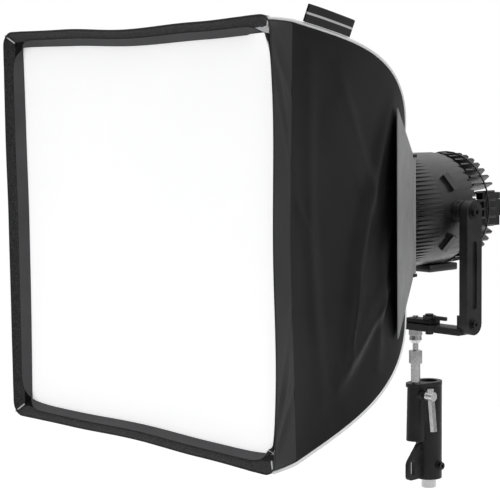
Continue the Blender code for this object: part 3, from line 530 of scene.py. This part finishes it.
for side in SIDES:
    panel = cloth_grid(f"panel_cloth_{side}", 84, 84, panel_shape(side), PANEL_CUT)
    panel.data.materials.append(BLACK_NYLON)
    panel.data.materials.append(SILVER_LINING)
    give_thickness(panel, NYLON_THICKNESS, lining=True)
    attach(panel, "head")
    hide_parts(f"side_panel_{side}")


# ---------------------------------------------------------------------------------------------
# Corner piping: pale reflective cord folded into each corner seam and stitched in beside it.
# It runs from the open front edge back to the neck.
# ---------------------------------------------------------------------------------------------


def sweep(name, points, radius, sides=8):
    """A round cord along a line of points, with closed ends."""
    path = bpy.data.curves.new(name, "CURVE")
    path.dimensions = "3D"
    path.bevel_depth = radius
    path.bevel_resolution = max(1, sides // 4 - 1)
    path.use_fill_caps = True
    spline = path.splines.new("POLY")
    spline.points.add(len(points) - 1)
    for spot, point in zip(spline.points, points):
        spot.co = (*point, 1.0)
    cord = bpy.data.objects.new(name, path)
    bpy.context.scene.collection.objects.link(cord)
    bpy.ops.object.select_all(action="DESELECT")
    cord.select_set(True)
    bpy.context.view_layer.objects.active = cord
    bpy.ops.object.convert(target="MESH")
    bpy.ops.object.shade_smooth()
    return cord


PIPING, piping_shader = new_finish("pale reflective piping", (0.62, 0.62, 0.62), 0.45)
piping_weave = mottle(PIPING, object_place(PIPING), 1100.0, 2.0)
piping_colour = tint(PIPING, piping_weave, (0.78, 0.78, 0.78), (0.42, 0.42, 0.43))
link_to(PIPING, piping_shader, "Base Color", piping_colour)
set_bump(PIPING, piping_shader, piping_weave, 0.0002, 0.5)
PIPING_RADIUS = 0.0023
PIPING_STEPS = 90
# Each corner, as a side and which end of that side it stands at.
CORNERS = {
    "near_top": ("near", 1),
    "far_top": ("far", -1),
    "far_bottom": ("far", 1),
    "near_bottom": ("near", -1),
}


# How far in from a square corner its rounding passes, for each metre of its radius.
ROUND_OFF = 1 - math.sqrt(0.5)


def corner_radius(depth):
    """The bag's corners are soft at its front edge and sharpen towards the panels."""
    return 0.003 + 0.018 * max(0.0, 1 - depth / LIP_DEPTH) ** 1.3


def seam_point(side, end, depth, beyond):
    """A point on a corner seam, this far beyond its rounded corner."""
    half = seam_half(depth) - ROUND_OFF * corner_radius(depth) + beyond
    return place_on_side(side, depth, half, end * half)


for corner, (side, end) in CORNERS.items():
    depths = [0.0005 + (NECK_DEPTH - 0.002) * step / PIPING_STEPS for step in range(PIPING_STEPS + 1)]
    line = [seam_point(side, end, depth, 0.0006) for depth in depths]
    piping = sweep(f"piping_{corner}", line, PIPING_RADIUS)
    piping.data.materials.append(PIPING)
    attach(piping, "head")


# ---------------------------------------------------------------------------------------------
# Front lip: four bands of doubled nylon that stand forward of the diffuser as a short hood.
# A flap of fuzzy loop tape slopes in from each front edge, and white bar tacks hold its corners.
# ---------------------------------------------------------------------------------------------

LIP_CUT = (0.594, 0.0465)
LIP_THICKNESS = 0.0016
TAPE_THICKNESS = 0.0012
TAPE_END = (0.0110, 0.0135)
# How much further in than usual the flap and hem hang midway along each side.
LEANS = {"near": 0.50, "top": 0.90, "far": 1.0, "bottom": 0.62}


def lean(side, u):
    return 1 + (LEANS[side] - 1) * (1 - u**6)


def lip_point(side, depth, u, inset, radius, ripple=0.0):
    """A point inset from the lip's outer face, with u from one corner to the other."""
    half = seam_half(depth) - inset
    along = u * (half - ROUND_OFF * radius)
    past = max(0.0, abs(along) - (half - radius))
    rounding = radius - math.sqrt(radius**2 - past**2)
    bow = hollow(depth) * (1 - u**2)
    return place_on_side(side, depth, half - bow - rounding + ripple, along)


LIP_FOLDS = {
    "near": [
        ((0.004, 0.272), (0.044, 0.20), 0.005, -0.0028),
        ((0.002, 0.255), (0.036, 0.15), 0.004, 0.0022),
        ((0.002, 0.240), (0.045, 0.10), 0.004, -0.0014),
        ((0.003, -0.272), (0.044, -0.20), 0.005, -0.0028),
        ((0.002, -0.252), (0.036, -0.15), 0.004, 0.0024),
        ((0.004, -0.225), (0.044, -0.09), 0.005, -0.0016),
    ],
    "top": [((0.004, 0.26), (0.04, 0.16), 0.005, 0.0014), ((0.004, -0.25), (0.04, -0.17), 0.005, -0.0014)],
    "far": [((0.004, 0.26), (0.04, 0.16), 0.005, 0.0014), ((0.004, -0.25), (0.04, -0.17), 0.005, -0.0012)],
    "bottom": [((0.004, 0.26), (0.04, 0.18), 0.005, 0.0014), ((0.004, -0.25), (0.04, -0.18), 0.005, -0.0012)],
}


def lip_shape(side):
    def shape(u, v):
        depth = LIP_DEPTH * (v + 1) / 2
        ripple = fold_height(LIP_FOLDS[side], depth, u * seam_half(depth))
        return lip_point(side, depth, u, LIP_THICKNESS / 2, corner_radius(depth), ripple)
    return shape


def gather(u, length=0.10):
    """How strongly the cloth is gathered here: 1 at a corner, 0 once this share of the side away."""
    return max(0.0, (abs(u) - 1 + length) / length)


def tape_shape(side):
    def shape(u, v):
        back = (v + 1) / 2
        depth = 0.0008 + (TAPE_END[0] - 0.0008) * back
        inset = 0.0020 + (TAPE_END[1] * lean(side, u) - 0.0020) * back
        crumple = gather(u) * back * 0.0016 * math.sin(130 * u + 7 * back)
        swell = 0.0012 * math.sin(math.pi * back)
        return lip_point(side, depth, u, inset - swell + crumple, 0.003 + 0.016 * (1 - back))
    return shape


def fuzzy_tape(name, colour):
    """Loop tape: a dense dark pile that scatters light and looks grey at a low angle."""
    material, shader = new_finish(name, colour, 0.95, specular=0.08)
    loops = mottle(material, object_place(material), 2400.0, 3.0)
    clumps = mottle(material, object_place(material), 320.0, 4.0)
    paler = tuple(part * 3.4 + 0.004 for part in colour)
    link_to(material, shader, "Base Color", tint(material, spread(material, clumps, 0.0, 1.0), colour, paler))
    set_bump(material, shader, loops, 0.0009, 0.9)
    shader.inputs["Sheen Weight"].default_value = 0.12
    shader.inputs["Sheen Roughness"].default_value = 0.6
    return material


# Painted light: the lip's nylon is a paler copy of the panels' black nylon, its extra lightness standing in
# for the light the lip catches where the bag turns forward.
PALE_PAINTED_LIP_NYLON = nylon("black lip nylon painted paler", (0.024, 0.024, 0.025), 0.55)
LOOP_TAPE = fuzzy_tape("black loop tape", (0.010, 0.010, 0.0105))
TAPE_CUT = (0.575, 0.0185)
for side in SIDES:
    lip = cloth_grid(f"lip_band_{side}", 110, 12, lip_shape(side), LIP_CUT)
    lip.data.materials.append(PALE_PAINTED_LIP_NYLON)
    give_thickness(lip, LIP_THICKNESS)
    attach(lip, "head")
    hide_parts(f"lip_{side}")
    tape = cloth_grid(f"loop_tape_{side}", 140, 8, tape_shape(side), TAPE_CUT)
    tape.data.materials.append(LOOP_TAPE)
    give_thickness(tape, TAPE_THICKNESS)
    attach(tape, "head")

TACK_RADIUS = 0.0012
TACK_STEPS = 12
for corner, (side, end) in CORNERS.items():
    line = []
    for step in range(TACK_STEPS + 1):
        back = step / TACK_STEPS
        depth = 0.0012 + 0.0080 * back
        inset = 0.0012 + 0.0130 * back
        line.append(lip_point(side, depth, end, inset, 0.004 + 0.014 * (1 - back)))
    tack = sweep(f"corner_tack_{corner}", line, TACK_RADIUS)
    tack.data.materials.append(PIPING)
    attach(tack, "head")


# ---------------------------------------------------------------------------------------------
# Front diffuser: a square of white cloth across the bag, hung inside the lip on a grey hem.
# The hem is a band of hook tape, which grips the loop flap all round and rounds each corner.
# ---------------------------------------------------------------------------------------------

DIFFUSER_DEPTH = 0.0200
DIFFUSER_INSET = 0.0200
DIFFUSER_CUT = (0.548, 0.548)


def diffuser_shape(u, v):
    half = seam_half(DIFFUSER_DEPTH)
    bow = hollow(DIFFUSER_DEPTH)
    x = u * (half - DIFFUSER_INSET * lean("near" if u > 0 else "far", v) - bow * (1 - v**2))
    z = v * (half - DIFFUSER_INSET * lean("top" if v > 0 else "bottom", u) - bow * (1 - u**2))
    pull = gather(min(abs(u), abs(v)), 0.16) * gather(max(abs(u), abs(v)), 0.20)
    near_top = 0.010 * pull * (u > 0 and v > 0)
    slack = 0.0015 * (1 - u**2) * (1 - v**2)
    return place_on_side("near", DIFFUSER_DEPTH, x, z) + Vector((0, slack - near_top, 0))


GLOWING_WHITE_CLOTH, glowing_white_shader = new_finish("white diffuser cloth with painted glow", (0.93, 0.93, 0.93), 0.8, specular=0.2)
set_bump(GLOWING_WHITE_CLOTH, glowing_white_shader, weave_height(GLOWING_WHITE_CLOTH, 700.0), 0.00008, 0.5)
painted_glow_cloud = mottle(GLOWING_WHITE_CLOTH, object_place(GLOWING_WHITE_CLOTH), 5.0)
painted_glow = tint(GLOWING_WHITE_CLOTH, spread(GLOWING_WHITE_CLOTH, painted_glow_cloud, 0.0, 1.0), (1.0, 1.0, 1.0), (0.93, 0.93, 0.94))
# Painted glow: the cloth gives off a faint white light of its own, slightly cloudy, standing in for the
# lamp's light shining through it from inside the bag.
link_to(GLOWING_WHITE_CLOTH, glowing_white_shader, "Emission Color", painted_glow)
glowing_white_shader.inputs["Emission Strength"].default_value = 0.24
diffuser = cloth_grid("diffuser_cloth", 64, 64, diffuser_shape, DIFFUSER_CUT)
diffuser.data.materials.append(GLOWING_WHITE_CLOTH)
give_thickness(diffuser, 0.0006)
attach(diffuser, "head")
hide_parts("front_diffuser")


def hem_shape(side):
    def shape(u, v):
        back = (v + 1) / 2
        loose = gather(u, 0.14)
        front_depth = 0.0080 + 0.0060 * loose**2
        depth = front_depth + (DIFFUSER_DEPTH - 0.0006 - front_depth) * back
        front_inset = 0.0108 + 0.0050 * loose**2
        inset = (front_inset + (DIFFUSER_INSET + 0.0008 - front_inset) * back) * lean(side, u)
        stand = 0.0016 * (1 - back) * (1 + loose)
        return lip_point(side, depth, u * 0.998, inset + stand, 0.0015 + 0.024 * (1 - back))
    return shape


HEM_CUT = (0.556, 0.018)
HEM_TAPE = nylon("grey hook tape hem", (0.055, 0.055, 0.057), 0.7, shading=1.3)
for side in SIDES:
    hem = cloth_grid(f"diffuser_hem_{side}", 110, 8, hem_shape(side), HEM_CUT)
    hem.data.materials.append(HEM_TAPE)
    give_thickness(hem, 0.0010)
    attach(hem, "head")


# ---------------------------------------------------------------------------------------------
# Inner baffle: a second, smaller white cloth half way down the bag, held by corner tapes.
# It evens the light out before it reaches the front.
# ---------------------------------------------------------------------------------------------

baffle_low, baffle_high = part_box("inner_baffle")
baffle_middle = (baffle_low + baffle_high) / 2
baffle_half = (baffle_high.x - baffle_low.x) / 2
BAFFLE_DEPTH = 0.240


def baffle_shape(u, v):
    x = u * (baffle_half - PANEL_HOLLOW * (1 - v**2))
    z = v * (baffle_half - PANEL_HOLLOW * (1 - u**2))
    sag = 0.002 * (1 - u**2) * (1 - v**2)
    return baffle_middle + Vector((x, sag, z + lift(BAFFLE_DEPTH)))


BAFFLE_CUT = (2 * baffle_half, 2 * baffle_half)
baffle = cloth_grid("baffle_cloth", 40, 40, baffle_shape, BAFFLE_CUT)
# The baffle shares the diffuser cloth's painted glow, an emission that stands in for the lamp's light shining
# through it.
baffle.data.materials.append(GLOWING_WHITE_CLOTH)
give_thickness(baffle, 0.0006)
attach(baffle, "head")
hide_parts("inner_baffle")


# ---------------------------------------------------------------------------------------------
# Rear sleeve, side label and pull strap: an elastic cuff of doubled nylon grips the door frame.
# A folded woven label stands on the near top seam and a dotted webbing strap hangs below.
# ---------------------------------------------------------------------------------------------

CUFF_START = 0.4684
CUFF_END = 0.4856
CUFF_HALF = 0.1032
CUFF_THICKNESS = 0.0014
CUFF_CUT = (0.820, 0.0172)
CUFF_SQUARENESS = 18
CUFF_PUCKERS = 70


def cuff_shape(u, v):
    """A square ring with soft corners, puckered lengthwise by the elastic sewn into it."""
    angle = math.pi * u
    cosine, sine = math.cos(angle), math.sin(angle)
    square = (abs(cosine) ** CUFF_SQUARENESS + abs(sine) ** CUFF_SQUARENESS) ** (-1 / CUFF_SQUARENESS)
    pucker = 0.0006 * (1 + math.sin(CUFF_PUCKERS * angle)) * (1 - 0.5 * v**2)
    pucker += 0.0004 * math.sin(math.pi * (v + 1))
    depth = CUFF_START + (CUFF_END - CUFF_START) * (v + 1) / 2
    reach = (CUFF_HALF + pucker) * square
    y = LAMP_AXIS_Y + depth - PIVOT_BEHIND_FRONT
    return Vector((reach * cosine, y, LAMP_AXIS_Z + reach * sine))


CUFF_CLOTH = nylon("black elastic cuff", (0.012, 0.012, 0.013), 0.7)
cuff = cloth_grid("elastic_cuff", 640, 8, cuff_shape, CUFF_CUT)
cuff.data.materials.append(CUFF_CLOTH)
bpy.ops.object.mode_set(mode="EDIT")
bpy.ops.mesh.select_all(action="SELECT")
bpy.ops.mesh.remove_doubles(threshold=0.00001)
bpy.ops.object.mode_set(mode="OBJECT")
give_thickness(cuff, CUFF_THICKNESS)
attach(cuff, "head")
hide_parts("rear_sleeve")

LABEL_START = 0.068
LABEL_LENGTH = 0.107
LABEL_HEIGHT = 0.0245
LABEL_FOLD = 0.0012
LABEL_CUT = (LABEL_LENGTH, 2 * (LABEL_HEIGHT - LABEL_FOLD) + math.pi * LABEL_FOLD)
LABEL_LEAN = Vector((0.45, 0.0, 0.89)).normalized()
LABEL_SIDE = Vector((0.89, 0.0, -0.45)).normalized()


def label_shape(u, v):
    """A strip folded in two lengthwise: up one face, round the fold and down the other face."""
    straight = LABEL_HEIGHT - LABEL_FOLD
    run = v * LABEL_CUT[1] / 2
    turn = max(-math.pi / 2, min(math.pi / 2, run / LABEL_FOLD))
    height = straight + LABEL_FOLD * math.cos(turn)
    if abs(run) > LABEL_FOLD * math.pi / 2:
        height = straight - (abs(run) - LABEL_FOLD * math.pi / 2)
    depth = LABEL_START + LABEL_LENGTH * (u + 1) / 2
    wave = 0.0012 * math.sin(3.1 * u + 0.4) * height / LABEL_HEIGHT
    foot = seam_point("near", 1, depth, 0.0030)
    return foot + LABEL_LEAN * height + LABEL_SIDE * (LABEL_FOLD * math.sin(turn) + wave)


LABEL_CLOTH, label_shader = new_finish("black woven label", (0.010, 0.010, 0.011), 0.6, specular=0.2)
label_bands = stripes(LABEL_CLOTH, 2 / LABEL_CUT[1], "Y")
label_stripe = spread(LABEL_CLOTH, label_bands, 0.0, 1.0, start=0.955, end=0.975)
label_colour = tint(LABEL_CLOTH, label_stripe, (0.010, 0.010, 0.011), (0.42, 0.42, 0.42))
link_to(LABEL_CLOTH, label_shader, "Base Color", label_colour)
set_bump(LABEL_CLOTH, label_shader, weave_height(LABEL_CLOTH, 1100.0), 0.00006, 0.6)
label = cloth_grid("woven_label", 48, 40, label_shape, LABEL_CUT)
label.data.materials.append(LABEL_CLOTH)
give_thickness(label, 0.0008)
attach(label, "head")
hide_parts("label_tag")

STRAP_WIDTH = 0.012
STRAP_THICKNESS = 0.0016
# The strap's middle line: X, depth behind the front plane, and height below the lamp's axis.
STRAP_LINE = (
    (0.012, 0.4780, 0.1070),
    (0.010, 0.4930, 0.1125),
    (0.008, 0.5080, 0.1245),
    (0.007, 0.5200, 0.1425),
)
STRAP_CUT = (STRAP_WIDTH, 0.057)


def strap_shape(u, v):
    """A flat strap along a smooth curve through the points of its middle line."""
    place = (v + 1) / 2 * (len(STRAP_LINE) - 1)
    step = min(int(place), len(STRAP_LINE) - 2)
    share = place - step
    before = Vector(STRAP_LINE[max(0, step - 1)])
    start, end = Vector(STRAP_LINE[step]), Vector(STRAP_LINE[step + 1])
    after = Vector(STRAP_LINE[min(len(STRAP_LINE) - 1, step + 2)])
    leaving, arriving = (end - before) / 2, (after - start) / 2
    spot = start + leaving * share + (3 * (end - start) - 2 * leaving - arriving) * share**2
    spot += (leaving + arriving - 2 * (end - start)) * share**3
    across = u * STRAP_WIDTH / 2
    return Vector((spot.x + across, LAMP_AXIS_Y + spot.y - PIVOT_BEHIND_FRONT, LAMP_AXIS_Z - spot.z))


WEBBING, webbing_shader = new_finish("pale webbing with dark dots", (0.62, 0.62, 0.62), 0.7, specular=0.2)
dot_share = {0: stripes(WEBBING, 2 / STRAP_WIDTH, "X"), 1: stripes(WEBBING, 210.0, "Y")}
dots = add_node(WEBBING, "Math", dot_share, operation="MULTIPLY").outputs["Value"]
dot_edges = spread(WEBBING, dots, 0.0, 1.0, start=0.55, end=0.65)
dot_colour = tint(WEBBING, dot_edges, (0.62, 0.62, 0.62), (0.05, 0.05, 0.05))
link_to(WEBBING, webbing_shader, "Base Color", dot_colour)
set_bump(WEBBING, webbing_shader, weave_height(WEBBING, 900.0), 0.0001, 0.6)
strap = cloth_grid("pull_strap_webbing", 10, 40, strap_shape, STRAP_CUT)
strap.data.materials.append(WEBBING)
give_thickness(strap, STRAP_THICKNESS)
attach(strap, "head")
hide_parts("pull_strap")


# ---------------------------------------------------------------------------------------------
# Studio: a plain pale floor well below the lamp, soft light from above and from the near side,
# and the camera in front and to the near side of the bag, a little above its axis.
# ---------------------------------------------------------------------------------------------

FLOOR_DROP = 1.1
FLOOR_RADIUS = 6.5
bpy.ops.mesh.primitive_circle_add(
    vertices=96, radius=FLOOR_RADIUS, fill_type="NGON", location=(0, 0, -FLOOR_DROP)
)
floor = bpy.context.object
floor.name = "studio_floor"
FLOOR_PAINT, floor_shader = new_finish("pale studio floor", (0.92, 0.92, 0.92), 0.85, specular=0.0)
floor_grain = mottle(FLOOR_PAINT, object_place(FLOOR_PAINT), 3.0)
pale = tint(FLOOR_PAINT, floor_grain, (0.93, 0.93, 0.93), (0.91, 0.91, 0.91))
link_to(FLOOR_PAINT, floor_shader, "Base Color", pale)
floor.data.materials.append(FLOOR_PAINT)

world = bpy.data.worlds.new("white studio")
world.use_nodes = True
direction = add_node(world, "TexCoord").outputs["Generated"]
height = add_node(world, "SeparateXYZ", {"Vector": direction}).outputs["Z"]
# The walls are dimmer low down than the lit ceiling. The camera sees them burnt out to plain white.
share_up = spread(world, height, 0.0, 1.0, start=0.0, end=1.0)
walls = tint(world, share_up, (0.30, 0.30, 0.30), (1.55, 1.55, 1.55))
camera_ray = add_node(world, "LightPath").outputs["Is Camera Ray"]
seen = add_node(world, "Mix", {"Factor": camera_ray}, data_type="RGBA")
world.node_tree.links.new(walls, seen.inputs[6])
seen.inputs[7].default_value = (1.0, 1.0, 1.0, 1.0)
link_to(world, world.node_tree.nodes["Background"], "Color", seen.outputs[2])
world.node_tree.nodes["Background"].inputs["Strength"].default_value = 1.0
bpy.context.scene.world = world
bpy.context.scene.view_settings.view_transform = "Standard"


def soft_light(name, place, target, size, power):
    data = bpy.data.lights.new(name, "AREA")
    data.shape = "RECTANGLE"
    data.size, data.size_y = size
    data.energy = power
    lamp = bpy.data.objects.new(name, data)
    lamp.location = place
    lamp.rotation_euler = (Vector(place) - Vector(target)).to_track_quat("Z", "Y").to_euler()
    lamp.visible_camera = False
    bpy.context.scene.collection.objects.link(lamp)


soft_light("overhead light", (0.6, 0.4, 3.0), (0, -0.2, 0.45), (1.6, 1.6), 30.0)
soft_light("side light", (3.0, 0.9, 1.2), (0, -0.2, 0.4), (1.0, 1.6), 7.0)

camera_data = bpy.data.cameras.new("camera")
camera_data.lens = 115.2
camera_data.sensor_width = 36.0
camera = bpy.data.objects.new("camera", camera_data)
yaw, pitch, roll = math.radians(47.43), math.radians(5.25), math.radians(-0.61)
aim = Matrix.Rotation(yaw, 4, "Z")
aim = aim @ Matrix.Rotation(math.pi / 2 - pitch, 4, "X")
aim = aim @ Matrix.Rotation(roll, 4, "Z")
camera.matrix_world = Matrix.Translation((1.797, -2.065, 0.6645)) @ aim
bpy.context.scene.collection.objects.link(camera)
bpy.context.scene.camera = camera
